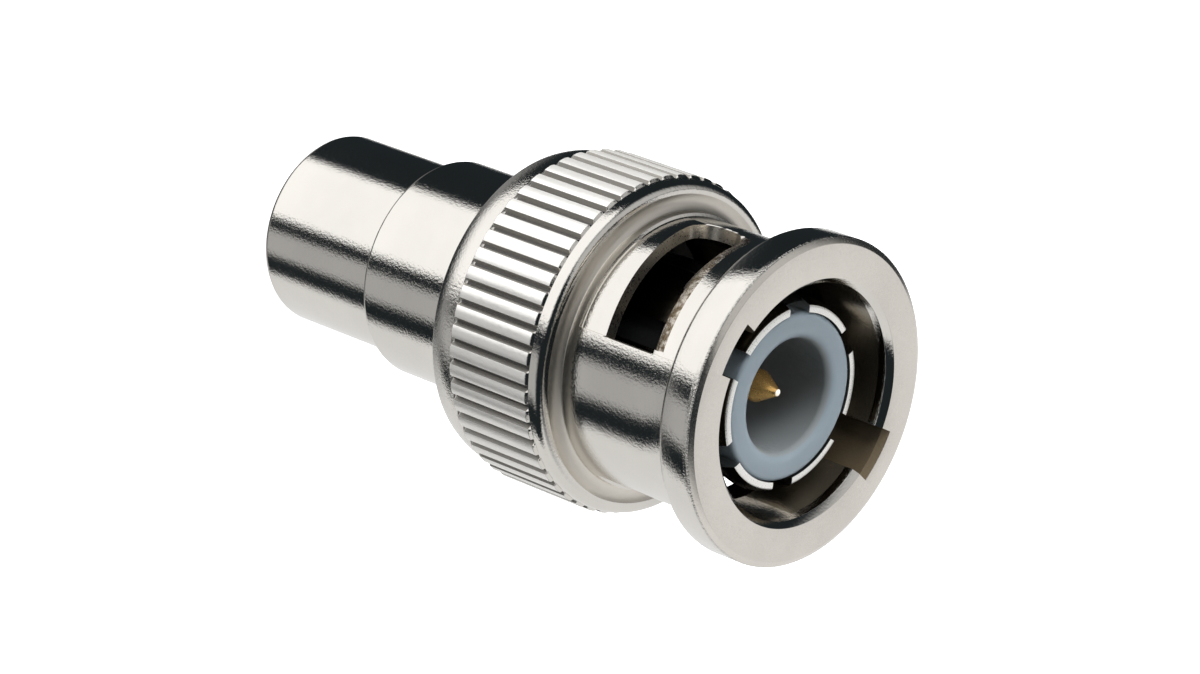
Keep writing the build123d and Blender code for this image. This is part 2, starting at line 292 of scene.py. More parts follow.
def round_the_axis(tree, vector):
    """Radius and height as a flat vector, in which a ring round the axis is a single point."""
    parts = linked(tree, "ShaderNodeSeparateXYZ", _0=vector).outputs
    flat = linked(tree, "ShaderNodeCombineXYZ", X=parts["X"], Y=parts["Y"]).outputs[0]
    radius = linked(tree, "ShaderNodeVectorMath", {"operation": "LENGTH"}, _0=flat).outputs["Value"]
    return linked(tree, "ShaderNodeCombineXYZ", X=radius, Y=parts["Z"]).outputs[0]


print("node helpers: linked, finish_of, in_millimetres, noise, between, round_the_axis")

# %% Nickel in its many states
MICRON = 0.001 * MM
swell_grains = 0.6
cloud_grains = 0.35
stain_grains = 3.0
peel_grains = 9.0
ring_grains = 9.0
cloud_shade = 0.93


def nickel(name, colour, roughness, spread, peel, rings, swell=2.0, metallic=1.0, stain=None):
    """Plated brass: peel, rings and swell are the heights of its marks, in thousandths of a millimetre."""
    made, shader, tree = finish_of(name, colour, metallic, roughness)
    place = in_millimetres(tree)
    cloud = noise(tree, place, cloud_grains, 3.0)
    shade = between(tree, cloud, cloud_shade, 1.0)
    tone = linked(tree, "ShaderNodeVectorMath", {"operation": "SCALE"}, _0=colour, Scale=shade).outputs[0]
    if stain:
        spots = between(tree, noise(tree, place, stain_grains, 3.0, 0.6), 0.0, 1.0, 0.42, 0.58)
        mixed = linked(tree, "ShaderNodeMix", {"data_type": "RGBA"}, Factor=spots)
        tree.links.new(tone, mixed.inputs["A"])
        mixed.inputs["B"].default_value = (*stain, 1)
        tone = mixed.outputs["Result"]
    tree.links.new(tone, shader.inputs["Base Color"])
    fine = noise(tree, place, peel_grains, 3.0, 0.6)
    tree.links.new(between(tree, fine, roughness - spread, roughness + spread), shader.inputs["Roughness"])
    turned_marks = noise(tree, round_the_axis(tree, place), ring_grains, 4.0, 0.7)
    wave = noise(tree, place, swell_grains, 1.0)
    below = {}
    for height, marks in ((rings, turned_marks), (peel, fine), (swell, wave)):
        bump = linked(tree, "ShaderNodeBump", Strength=1.0, Distance=height * MICRON, Height=marks, **below)
        below = {"Normal": bump.outputs[0]}
    tree.links.new(bump.outputs[0], shader.inputs["Normal"])
    return made


nickel_colour = (0.74, 0.715, 0.67)
bright_nickel = nickel("bright_nickel", nickel_colour, 0.07, 0.03, peel=7.0, rings=1.0, swell=4.0)
worn_nickel = nickel("worn_nickel", (0.66, 0.60, 0.52), 0.25, 0.05, peel=50.0, rings=1.0,
                     stain=(0.22, 0.17, 0.11))
wall_nickel = nickel("wall_nickel", (0.84, 0.78, 0.69), 0.30, 0.05, peel=4.0, rings=2.0)
# Painted shade: a dark brown nickel for the nut's entry channels.
nickel_painted_shade_channel = nickel("nickel_painted_shade_channel", (0.088, 0.068, 0.042), 0.45, 0.05, peel=6.0, rings=2.0,
                        metallic=0.4)
edge_nickel = nickel("edge_nickel", nickel_colour, 0.12, 0.05, peel=70.0, rings=1.0)
shoulder_nickel = nickel("shoulder_nickel", nickel_colour, 0.12, 0.05, peel=15.0, rings=1.0)
satin_nickel = nickel("satin_nickel", (0.79, 0.75, 0.69), 0.24, 0.04, peel=2.0, rings=1.5, swell=16.0)
knurled_nickel = nickel("knurled_nickel", (0.96, 0.94, 0.90), 0.36, 0.06, peel=8.0, rings=1.0,
                        metallic=0.65)
land_end_nickel = nickel("land_end_nickel", (0.66, 0.64, 0.60), 0.28, 0.06, peel=10.0, rings=1.0,
                         metallic=0.87)
# Painted shade: darker nickels for the knurl's groove walls and groove floors.
nickel_painted_shade_groove_wall = nickel("nickel_painted_shade_groove_wall", (0.31, 0.295, 0.27), 0.45, 0.05, peel=6.0, rings=1.0, metallic=0.5)
nickel_painted_shade_groove_floor = nickel("nickel_painted_shade_groove_floor", (0.10, 0.095, 0.088), 0.45, 0.05, peel=3.0, rings=1.0, metallic=0.5)
hollow_nickel = nickel("hollow_nickel", (0.78, 0.735, 0.665), 0.40, 0.04, peel=2.0, rings=0.0, swell=8.0)
# Painted shade: a dark nickel for the mouth's bore below its bright band.
nickel_painted_shade_bore = nickel("nickel_painted_shade_bore", (0.20, 0.175, 0.13), 0.14, 0.04, peel=3.0, rings=2.0, metallic=0.88)
# Painted shade: a near-black nickel for the outside of the plug's contact fingers.
nickel_painted_shade_fingers = nickel("nickel_painted_shade_fingers", (0.10, 0.09, 0.075), 0.20, 0.04, peel=3.0, rings=2.0)
tip_nickel = nickel("tip_nickel", (0.86, 0.85, 0.82), 0.30, 0.05, peel=3.0, rings=1.0, metallic=0.87)
# Painted shade: a dark nickel for the nut's inner walls.
nickel_painted_shade_inside = nickel("nickel_painted_shade_inside", (0.30, 0.26, 0.20), 0.14, 0.03, peel=2.0, rings=1.5)
contact_nickel = nickel("contact_nickel", nickel_colour, 0.17, 0.04, peel=2.0, rings=1.5)
print("nickel finishes:", [made.name for made in bpy.data.materials if "nickel" in made.name])

# %% [markdown]
# ## Plastics, gold, rubber and spring steel
# The plug's insulator is a pale bluish grey polymer that lets a little light in, the jack's is white, the
# pin is gold over brass, and the gasket is black rubber. Each has a fine noise in its roughness and its
# surface, because a moulded or turned piece is never evenly smooth.

# %% The other finishes
moulded_shade, skin_spread = 0.94, 0.15


def moulded(name, colour, roughness, grain, depth, **sockets):
    """A plain material with a skin of grain bumps to a millimetre, depth thousandths of one high."""
    made, shader, tree = finish_of(name, colour, 0.0, roughness, **sockets)
    place = in_millimetres(tree)
    skin = noise(tree, place, grain, 3.0)
    shade = between(tree, noise(tree, place, cloud_grains, 2.0), moulded_shade, 1.0)
    tone = linked(tree, "ShaderNodeVectorMath", {"operation": "SCALE"}, _0=colour, Scale=shade).outputs[0]
    tree.links.new(tone, shader.inputs["Base Color"])
    uneven = between(tree, skin, roughness * (1 - skin_spread), roughness * (1 + skin_spread))
    tree.links.new(uneven, shader.inputs["Roughness"])
    bump = linked(tree, "ShaderNodeBump", Strength=1.0, Distance=depth * MICRON, Height=skin)
    tree.links.new(bump.outputs[0], shader.inputs["Normal"])
    return made


milky = {"Subsurface_Weight": 0.6, "Subsurface_Radius": (1.0, 1.0, 1.0), "Subsurface_Scale": 1.0 * MM}
pale_plastic = moulded("pale_plastic", (0.132, 0.160, 0.180), 0.38, 6.0, 1.5, **milky)
bore_plastic = moulded("bore_plastic", (0.138, 0.152, 0.158), 0.38, 6.0, 1.5, **milky)
# Painted shade: a near-black plastic for the plug insulator's outside deep inside the contact.
plastic_painted_shade = moulded("plastic_painted_shade", (0.006, 0.0062, 0.0065), 0.8, 6.0, 1.5, Specular_IOR_Level=0.1)
white_plastic = moulded("white_plastic", (0.80, 0.79, 0.76), 0.42, 6.0, 1.5)
black_rubber = moulded("black_rubber", (0.02, 0.019, 0.018), 0.7, 5.0, 4.0)
gold = nickel("gold_plate", (1.0, 0.60, 0.20), 0.24, 0.05, peel=2.0, rings=2.0, metallic=0.94)
# The pin's nose: a pale gold that is partly wear and partly a painted highlight.
nose_wear_and_highlight_gold = nickel("worn_gold_and_painted_highlight", (0.95, 0.86, 0.72), 0.35, 0.05, peel=2.0, rings=1.0, metallic=0.3)
spring_steel = nickel("spring_steel", (0.56, 0.54, 0.51), 0.32, 0.05, peel=1.5, rings=1.0)
spring_bronze = nickel("spring_bronze", (0.66, 0.42, 0.22), 0.30, 0.05, peel=1.5, rings=1.0)
print("materials:", len(bpy.data.materials))

# %% [markdown]
# ## Turned pieces
# Most of this object was turned on a lathe, so its surfaces are one profile carried round the axis. The
# solids' edges are sharp or cut at one angle, while a real lathe and plating bath leave them rounded by a
# tenth of a millimetre. Those small arcs catch the light as thin bright lines, so the profile gets them
# before it turns.

# %% Rounded profiles
tiny, least_length = 1e-6, 1e-9


def rounded(points, radii, steps=4):
    """A profile with its corners rounded, as rows of radius and height.

    At a corner with half angle a between its two edges, an arc of radius R touches both edges at R / tan(a)
    from the corner, and its centre lies on the bisector at R / sin(a). The arc's points are the centre plus
    R times a unit vector that turns evenly from one touching point to the other. A radius of 0 keeps the
    corner.
    """
    corners = np.asarray(points, float)
    radii = np.asarray(radii, float)[:, None]
    back = np.roll(corners, 1, axis=0) - corners
    ahead = np.roll(corners, -1, axis=0) - corners
    back /= np.linalg.norm(back, axis=1, keepdims=True)
    ahead /= np.linalg.norm(ahead, axis=1, keepdims=True)
    half = np.arccos(np.clip((back * ahead).sum(1, keepdims=True), -1, 1)) / 2
    bisector = back + ahead
    bisector /= np.maximum(np.linalg.norm(bisector, axis=1, keepdims=True), least_length)
    centres = corners + bisector * radii / np.sin(half)
    first = corners + back * radii / np.tan(half) - centres
    last = corners + ahead * radii / np.tan(half) - centres
    share = np.linspace(0, 1, steps + 1)[None, :, None]
    sweep = (math.pi - 2 * half)[:, :, None]
    swing = np.maximum(np.sin(sweep), least_length)
    arcs = (first[:, None] * np.sin((1 - share) * sweep) + last[:, None] * np.sin(share * sweep)) / swing
    arcs = (centres[:, None] + arcs).reshape(-1, 2)
    moved = np.linalg.norm(arcs - np.roll(arcs, 1, axis=0), axis=1) > tiny
    return arcs[moved]


def rounded_corners(corners, steps=4):
    """A rounded profile from corners that are each given as a radius, a height and an edge radius."""
    return rounded([corner[:2] for corner in corners], [corner[2] for corner in corners], steps)


def bowed(start, end, bow, steps):
    """The points of a shallow arc: the straight line plus bow times 4 t (1 - t), square to it."""
    start, end = np.array(start, float), np.array(end, float)
    t = np.linspace(0, 1, steps + 1)[:, None]
    along = end - start
    across = np.array([-along[1], along[0]]) / np.linalg.norm(along)
    return start + t * along + 4 * t * (1 - t) * bow * across


square = rounded([(0, 0), (1, 0), (1, 1), (0, 1)], [0.2] * 4)
print("a square with corners of radius 0.2 has", len(square), "points")

# %% [markdown]
# ## From grids to pieces
# A surface here is a grid of points with a face in each cell. The mesh is filled straight from the numpy
# arrays, which is far faster than drawing in Blender. Points that fall on one another are merged, so that
# a piece is one closed skin, and the faces are turned to point out. Edges sharper than 40 degrees stay
# sharp.

# %% Grids and pieces
sharp_angle = math.radians(40)
merge_distance = 1e-4


def grid_faces(rows, columns, close_rows):
    """The four corners of each cell of a grid that closes in columns, and in rows if asked."""
    row = np.arange(rows if close_rows else rows - 1)[:, None]
    column = np.arange(columns)[None, :]
    next_row = (row + 1) % rows
    next_column = (column + 1) % columns
    corners = [row * columns + column, row * columns + next_column]
    corners += [next_row * columns + next_column, next_row * columns + column]
    return np.stack(corners, axis=-1)


def outward(points, faces):
    """The faces turned to point out: the volume is the sum of a . (b x c) / 6 over the triangles."""
    a, b, c, d = (points[faces[:, k]] for k in range(4))
    volume = (np.einsum("ij,ij->i", a, np.cross(b, c)) + np.einsum("ij,ij->i", a, np.cross(c, d))).sum() / 6
    return (faces if volume > 0 else faces[:, ::-1]), abs(volume)


def piece_of(name, points, faces, finishes, finish_numbers=None):
    """A smooth Blender object from points in millimetres and faces of four corners."""
    faces, volume = outward(points, faces)
    mesh = bpy.data.meshes.new(name)
    mesh.vertices.add(len(points))
    mesh.vertices.foreach_set("co", (points * MM).ravel())
    mesh.loops.add(faces.size)
    mesh.loops.foreach_set("vertex_index", faces.ravel())
    mesh.polygons.add(len(faces))
    mesh.polygons.foreach_set("loop_start", np.arange(0, faces.size, 4))
    for finish in finishes:
        mesh.materials.append(finish)
    if finish_numbers is not None:
        mesh.polygons.foreach_set("material_index", finish_numbers)
    mesh.update(calc_edges=True)
    mesh.validate()
    sheet = bmesh.new()
    sheet.from_mesh(mesh)
    bmesh.ops.remove_doubles(sheet, verts=sheet.verts, dist=merge_distance * MM)
    bmesh.ops.delete(sheet, geom=[edge for edge in sheet.edges if edge.is_wire], context="EDGES")
    open_edges = sum(edge.is_boundary for edge in sheet.edges)
    sheet.to_mesh(mesh)
    sheet.free()
    mesh.shade_smooth()
    mesh.set_sharp_from_angle(angle=sharp_angle)
    made = bpy.data.objects.new(name, mesh)
    bpy.context.scene.collection.objects.link(made)
    weigh = made.modifiers.new("even_normals", "WEIGHTED_NORMAL")
    weigh.mode = "FACE_AREA"
    weigh.keep_sharp = True
    mesh.calc_loop_triangles()
    triangles = len(mesh.loop_triangles)
    print(name, "has", triangles, "triangles,", open_edges, "open edges and", round(volume, 1), "mm3")
    return made


def turned(name, profile, finishes, columns=256, finish_rows=None, close_rows=True):
    """A profile carried round the axis: x = r cos(u), y = r sin(u), z = the profile's height."""
    angles = np.linspace(0, 2 * np.pi, columns, endpoint=False)
    radius, height = profile[:, 0][:, None], profile[:, 1][:, None]
    points = np.stack([radius * np.cos(angles), radius * np.sin(angles), height + 0 * angles], axis=-1)
    faces = grid_faces(len(profile), columns, close_rows)
    numbers = None if finish_rows is None else np.repeat(finish_rows[: len(faces)], columns)
    return piece_of(name, points.reshape(-1, 3), faces.reshape(-1, 4), finishes, numbers)


print("a grid of 3 by 4 points that closes both ways has", grid_faces(3, 4, True).size // 4, "faces")

# %% [markdown]
# ## The shell
# The body is one turned piece: the jack's barrel, the thicker waist, and the neck that the nut runs on.
# Only the barrel, the waist and their edges show, and each outer edge is rounded.

# %% The shell
barrel_radius, barrel_length = 4.15, 6.8
waist_radius, shoulder_z = 4.715, 13.15
neck_radius, neck_top_z = 4.15, 16.63
groove_radius, groove_z, groove_top_z = 3.75, 15.83, 16.33
rim_bore_radius, rim_thickness = 3.25, 0.5
jack_bore_radius = 3.45
web_bore_radius, web_z, web_top_z = 2.62, 12.33, 13.13
tail_bore_radius = 3.35
fine_edge, end_edge, body_edge, step_fillet = 0.05, 0.32, 0.22, 0.06
shell_corners = [
    (rim_bore_radius, 0, 0.1), (barrel_radius, 0, end_edge), (barrel_radius, barrel_length, step_fillet),
    (waist_radius, barrel_length, body_edge), (waist_radius, shoulder_z, 0.1),
    (neck_radius, shoulder_z, fine_edge), (neck_radius, groove_z, fine_edge),
    (groove_radius, groove_z, fine_edge), (groove_radius, groove_top_z, fine_edge),
    (neck_radius, groove_top_z, fine_edge), (neck_radius, neck_top_z, fine_edge),
    (tail_bore_radius, neck_top_z, fine_edge), (tail_bore_radius, web_top_z, 0),
    (web_bore_radius, web_top_z, fine_edge), (web_bore_radius, web_z, fine_edge),
    (jack_bore_radius, web_z, 0), (jack_bore_radius, rim_thickness, 0),
    (rim_bore_radius, rim_thickness, fine_edge),
]
shell = turned("shell_surface", rounded_corners(shell_corners), [bright_nickel], columns=320)
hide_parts("shell")
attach(shell, "body")

# %% [markdown]
# ## The coupling nut
# The nut is not round all the way: it has 54 knurl grooves, two windows that wind round the neck in a
# shallow recess, and two entry channels in its mouth. It is still one sheet over two parameters, the
# place along the turned profile and the angle. The grid's columns are placed where the features have
# their edges, and the rows of the neck are bent so that two of them run along a window. A groove is the
# smaller of two radii, a recess is a smaller radius, and a window is a patch of cells left out of the
# outer and the inner wall and joined.

# %% The nut's turned profile
flange_radius, flange_thickness = 6.86, 1.77
nut_neck_radius, ring_face_z = 5.87, 19.73
ring_radius, ring_front_z = 6.93, 19.63
knurl_radius, knurl_top_z, knurl_z, knurl_end_z = 7.2, 18.95, 14.66, 14.44
shoulder_end_radius, face_hollow, shoulder_bulge = 6.72, 0.1, 0.1
mouth_bore_radius, mouth_chamfer, bore_step_z = 4.95, 0.24, 24.5
cavity_radius, lip_front_z = 5.15, 14.35
nut_bore_radius, bright_depth = 4.22, 0.4
flange_back_z = mouth_z - flange_thickness
chamfer_width, chamfer_height, rim_band = 0.26, 0.15, 0.22
ring_front_radius = 6.4
band_radius, band_back_z, band_front_z, band_round, hollow_end = 7.06, 19.03, 19.64, 0.33, 6.56
bow_steps, hair = 10, 0.01
hollow = bowed((nut_neck_radius, ring_face_z), (hollow_end, ring_front_z), -face_hollow, bow_steps)
shoulder = bowed((ring_radius, knurl_end_z), (shoulder_end_radius, shoulder_z), shoulder_bulge, bow_steps)
nut_corners = [
    (mouth_bore_radius + mouth_chamfer, mouth_z, 0.03), (flange_radius - chamfer_width, mouth_z, 0.08),
    (flange_radius, mouth_z - chamfer_height, 0.1), (flange_radius, mouth_z - chamfer_height - rim_band, 0),
    (flange_radius, flange_back_z, 0.28),
    (nut_neck_radius, flange_back_z, 0.08), (*hollow[0], 0.06), *((*point, 0) for point in hollow[1:-1]),
    (*hollow[-1], 0.02), (band_radius, band_front_z, band_round), (band_radius, band_back_z, 0.02),
    (knurl_radius, knurl_top_z, 0.05),
    (knurl_radius, knurl_z, 0.05), (*shoulder[0], 0.03), *((*point, 0) for point in shoulder[1:-1]),
    (*shoulder[-1], 0.1), (nut_bore_radius, shoulder_z, 0.08), (nut_bore_radius, lip_front_z, 0.05),
    (cavity_radius, lip_front_z, 0), (cavity_radius, bore_step_z, 0), (mouth_bore_radius, bore_step_z, 0.04),
    (mouth_bore_radius, mouth_z - mouth_chamfer - bright_depth, 0),
    (mouth_bore_radius, mouth_z - mouth_chamfer, 0.03),
]
nut_profile = rounded_corners(nut_corners, steps=3)
print("the nut's profile has", len(nut_profile), "points")

# %% [markdown]
# ### Where the columns stand
# A grid can only have an edge where it has a column. So each groove gets the columns of its floor, its
# walls and the land beside it, and the windows, recesses and channels get columns at both sides of each
# edge. All of them are rounded to a thousandth of a degree, sorted, and taken once.

# %% The nut's columns
groove_count, groove_start = 54, -1.77
groove_pitch = 360 / groove_count
groove_floor_radius, groove_floor_half, groove_top_half, land_crown = 6.97, 0.055, 0.16, 0.9
half_turns = np.array([0, 180])
window_lock, window_entry = -61.5, 13.0
window_arc = window_entry - window_lock
recess_lock, recess_arc, recess_depth, recess_end_z = -94.5, 107.5, 0.12, 20.08
window_front_z, window_width, window_drop, window_corner = 24.05, 2.6, 0.5, 1.1
channel_radius, channel_floor_angle, channel_edge_angle = 5.5, 11.27, 12.54
edge_angle = 0.35
first_column = -100.0
land_offsets = np.array([0.44, 1.27, 1.6, 2.2, 2.75])
groove_offsets = np.concatenate([[0], land_offsets, [groove_pitch / 2], -land_offsets])
groove_columns = groove_start + groove_pitch * np.arange(groove_count)[:, None] + groove_offsets
corner_arc = math.degrees(window_corner / nut_neck_radius)
corner_columns = window_lock + corner_arc * (1 - np.cos(np.radians([15, 30, 45, 60, 75, 90])))
edge_columns = np.array([
    window_lock - edge_angle, window_lock, window_entry - edge_angle, window_entry,
    window_entry + edge_angle, recess_lock, recess_lock + edge_angle, recess_lock - edge_angle,
    channel_floor_angle, channel_edge_angle,
    -channel_floor_angle, -channel_edge_angle, channel_floor_angle - edge_angle,
    edge_angle - channel_floor_angle, -channel_edge_angle - edge_angle,
])
feature_columns = (np.concatenate([edge_columns, corner_columns]) + half_turns[:, None]).ravel()
every_column = np.concatenate([groove_columns.ravel(), feature_columns])
angles = np.unique(np.round((every_column - first_column) % 360 + first_column, 3))
print("the nut has", len(angles), "columns")

# %% [markdown]
# ### Rows bent along the windows
# A window's long edges climb as they wind round the neck, so rows of the grid are bent to run along them,
# on the outside and again on the inside, with the rows between spread evenly. The front wall slopes: its
# inner edge lies further back than its outer one, so little light comes through the window into the
# mouth. Just before the window the rows are close together, for the wear of its front edge.

# %% Rows bent along the windows
window_edge, recess_edge = 0.05, 0.04


def past(edge, period=180):
    """How many degrees each column lies past an edge that comes back every half turn."""
    return np.round((angles - edge) % period, 3)


def window_line(middle, corner_side):
    """The height of a window's edge at each column.

    The cut is a tilted plane, so on the neck its height is the middle plus half the drop times
    sin(a) / sin(half the arc), with a the angle from the window's middle. At the locked end a quarter circle
    of the corner's radius is taken off, and over the pad between the windows the line runs straight back.
    """
    along = past(window_lock)
    swing = np.radians(along - window_arc / 2)
    line = middle + window_drop / 2 * np.sin(swing) / math.sin(math.radians(window_arc / 2))
    travelled = np.clip(np.radians(along) * nut_neck_radius, 0, window_corner)
    corner_rise = np.sqrt(window_corner**2 - (window_corner - travelled) ** 2)
    line = line - corner_side * (window_corner - corner_rise)
    entry_level = middle + window_drop / 2
    lock_level = middle - window_drop / 2 - corner_side * window_corner
    pad_share = (along - window_arc) / (180 - window_arc)
    return np.where(along > window_arc, entry_level + (lock_level - entry_level) * pad_share, line)


inner_shares = np.linspace(0, 1, 6)
front_line = window_line(window_front_z - window_drop / 2, 1)
rear_line = window_line(window_front_z - window_drop / 2 - window_width, -1)
hole_lines = front_line + (rear_line - front_line) * inner_shares[:, None]
worn_rises = np.array([0.5, 0.3, 0.15])[:, None]
neck_lines = np.concatenate([
    front_line + worn_rises, hole_lines, (rear_line - window_edge)[None],
    np.full((1, len(angles)), recess_end_z + recess_edge), np.full((1, len(angles)), recess_end_z),
])
slope_depth, slope_end, slope_fade = 0.55, 49, 8
slope_share = np.clip(past(window_lock) / corner_arc, 0, 1)
slope_share = slope_share * np.clip((slope_end - past(window_lock)) / slope_fade, 0, 1)
inner_front_line = front_line - slope_depth * slope_share
inner_lines = inner_front_line + (rear_line - inner_front_line) * inner_shares[:, None]
cavity_lines = np.concatenate([
    (rear_line - window_edge)[None], inner_lines[::-1], (inner_front_line + window_edge)[None],
])
print("window from", rear_line.min().round(2), "to", front_line.max().round(2), "mm up")

# %% [markdown]
# ### The sheet and its features
# Every point of the grid now gets a height and a radius from the profile, and the features then change
# the radius. A recess takes a little off it. The land between two grooves is crowned, as wear leaves it,
# and runs into the groove's wall through a soft minimum of the two radii. A channel widens the mouth's
# bore.

# %% The nut's sheet
radius_rows = np.repeat(nut_profile[:, :1], len(angles), axis=1)
height_rows = np.repeat(nut_profile[:, 1:], len(angles), axis=1)
on_neck = np.abs(nut_profile[:, 0] - nut_neck_radius) < tiny
neck_row = np.flatnonzero(on_neck & (nut_profile[:, 1] > recess_end_z))[-1] + 1
cavity_row = np.flatnonzero(np.abs(nut_profile[:, 0] - cavity_radius) < tiny)[0] + 1
neck_count, cavity_count = len(neck_lines), len(cavity_lines)
radius_rows = np.insert(radius_rows, [cavity_row] * cavity_count, cavity_radius, axis=0)
height_rows = np.insert(height_rows, [cavity_row] * cavity_count, cavity_lines, axis=0)
radius_rows = np.insert(radius_rows, [neck_row] * neck_count, nut_neck_radius, axis=0)
height_rows = np.insert(height_rows, [neck_row] * neck_count, neck_lines, axis=0)
cavity_row += neck_count
row_count = len(radius_rows)
row_numbers = np.arange(row_count)

in_recess = (past(recess_lock) >= edge_angle) & (past(recess_lock) <= recess_arc - edge_angle)
recess_rows = (radius_rows < nut_neck_radius + recess_depth) & (height_rows > recess_end_z + recess_edge / 2)
recess_rows &= (row_numbers < neck_row + neck_count)[:, None] & (height_rows < flange_back_z + 0.1)
radius_rows -= recess_depth * (recess_rows & in_recess)

groove_turn = (angles - groove_start + groove_pitch / 2) % groove_pitch - groove_pitch / 2
groove_flare = (groove_top_half - groove_floor_half) / (knurl_radius - groove_floor_radius)
groove_wall = (np.abs(np.radians(groove_turn)) * knurl_radius - groove_floor_half) / groove_flare
groove_line = groove_floor_radius + np.maximum(groove_wall, 0)
knurl_rows = (height_rows > knurl_end_z) & (height_rows < band_back_z - 2 * hair)
knurl_rows &= radius_rows > cavity_radius + 1
land_blend = 0.015
from_middle = np.radians(groove_pitch / 2 - np.abs(groove_turn)) * knurl_radius
crowned = np.minimum(radius_rows, knurl_radius - from_middle**2 / (2 * land_crown))
blended = -land_blend * np.logaddexp(-crowned / land_blend, -groove_line / land_blend)
radius_rows = np.where(knurl_rows, blended, radius_rows)

inner_rows = (row_numbers >= cavity_row)[:, None] & (height_rows >= front_line - tiny)
in_channel = past(-channel_floor_angle) <= 2 * channel_floor_angle
mouth_flare = np.where(height_rows > mouth_z - mouth_chamfer - 0.05, radius_rows - mouth_bore_radius, 0)
face_start = (row_numbers < 4)[:, None] & (radius_rows < mouth_bore_radius + 0.5)
radius_rows = np.where((inner_rows | face_start) & in_channel, channel_radius + mouth_flare, radius_rows)
print("rows:", row_count, "radii from", radius_rows.min().round(2), "to", radius_rows.max().round(2), "mm")

# %% [markdown]
# ### The windows' openings
# A window is a patch of cells left out of the outer wall and the same patch left out of the inner one.
# Both rims have the same number of points, so a band of cells joins them and is the window's wall. The
# outer rim is sunk a little, as a worn edge is.

# %% The windows' openings and walls
def columns_at(angle):
    """The number of the column at an angle, and of the one half a turn on."""
    return [int(np.flatnonzero(np.isclose(angles, angle + half, atol=2e-3))[0]) for half in half_turns]


lock_columns, entry_columns = columns_at(window_lock), columns_at(window_entry)
hole_top, hole_rows = neck_row + len(worn_rises), len(hole_lines)
inner_top = cavity_row + cavity_count - 2
outline_drop, worn_depth, worn_margin = 0.03, 0.12, 2
window_rim = np.zeros_like(radius_rows, bool)
faces = grid_faces(row_count, len(angles), close_rows=True)
keep = np.ones(faces.shape[:2], bool)
walls = []
for lock, entry in zip(lock_columns, entry_columns):
    across = np.arange(lock, entry + 1)
    down = np.arange(1, hole_rows - 1)
    rim_rows = np.concatenate([0 * across, down, 0 * across + hole_rows - 1, down[::-1]])
    rim_columns = np.concatenate([across, 0 * down + entry, across[::-1], 0 * down + lock])
    window_rim[hole_top + rim_rows, rim_columns] = True
    keep[hole_top : hole_top + hole_rows - 1, lock:entry] = False
    keep[inner_top - hole_rows + 1 : inner_top, lock:entry] = False
    outer = (hole_top + rim_rows) * len(angles) + rim_columns
    inner = (inner_top - rim_rows) * len(angles) + rim_columns
    walls.append(np.stack([outer, inner, np.roll(inner, -1), np.roll(outer, -1)], axis=1))
radius_rows -= outline_drop * window_rim
over_window = (past(window_lock) > worn_margin) & (past(window_lock) < window_arc - worn_margin)
worn_drops = np.array([0.0, 0.02, 0.06, worn_depth - outline_drop])
for row, drop in zip(range(neck_row, hole_top + 1), worn_drops):
    radius_rows[row] -= drop * over_window
turns = np.radians(angles)
nut_points = np.stack([radius_rows * np.cos(turns), radius_rows * np.sin(turns), height_rows], axis=-1)
print("cells left out of the nut:", int((~keep).sum()), "wall cells:", sum(map(len, walls)))

# %% [markdown]
# ### One nut, many finishes
# Wear makes the same plate look different from place to place: the lands are bright and scuffed, the face
# satin and the edges nicked. The grooves, the inside, the mouth's bore and the channels are dark finishes
# that paint their shade, and a patch of the bore keeps the bright finish as a painted reflection. Whole
# rows get their finish first, by height and radius, and then single cells do where the angle matters as
# well.

# %% Finishes by row
nut_finishes = [
    bright_nickel, knurled_nickel, satin_nickel, nickel_painted_shade_inside, nickel_painted_shade_groove_wall, edge_nickel, worn_nickel,
    nickel_painted_shade_groove_floor, land_end_nickel, nickel_painted_shade_channel, wall_nickel, nickel_painted_shade_bore, hollow_nickel, shoulder_nickel,
]
number_of = {finish.name: number for number, finish in enumerate(nut_finishes)}
mid_height = height_rows.mean(axis=1)
lower_height = np.roll(mid_height, -1)
widest = radius_rows.max(axis=1)
outer_rows = row_numbers < cavity_row - 6
finish_rows = np.full(row_count, number_of["bright_nickel"])
finish_rows[knurl_rows.any(axis=1)] = number_of["knurled_nickel"]
finish_rows[mid_height > mouth_z - 0.001] = number_of["satin_nickel"]
rim_start = mouth_z - chamfer_height - rim_band - hair
rim_rows = outer_rows & (lower_height > rim_start) & (widest > ring_front_radius)
finish_rows[rim_rows & (mid_height > mouth_z - 0.015)] = number_of["satin_nickel"]
finish_rows[rim_rows & (mid_height <= mouth_z - 0.015)] = number_of["edge_nickel"]
finish_rows[rim_rows & (mid_height <= mouth_z - chamfer_height - 0.05)] = number_of["shoulder_nickel"]
finish_rows[outer_rows & (mid_height < knurl_end_z + 0.001)] = number_of["shoulder_nickel"]
band_rows = outer_rows & (lower_height > band_back_z - 0.03) & (mid_height < ring_face_z + 0.1)
hollow_rows = band_rows & (widest < hollow_end - 0.05)
finish_rows[band_rows] = number_of["bright_nickel"]
finish_rows[hollow_rows] = number_of["hollow_nickel"]
land_ends = (mid_height > knurl_top_z - hair) | (lower_height < knurl_z - 0.001)
finish_rows[knurl_rows.any(axis=1) & land_ends] = number_of["land_end_nickel"]
# The rows inside the nut get the dark nickel: painted shade.
finish_rows[cavity_row - 4 :] = number_of["nickel_painted_shade_inside"]
print("rows by finish:", {name: int((finish_rows == number).sum()) for name, number in number_of.items()})

# %% Finishes by cell
groove_wall_turn, groove_floor_turn = 1.3, 0.47
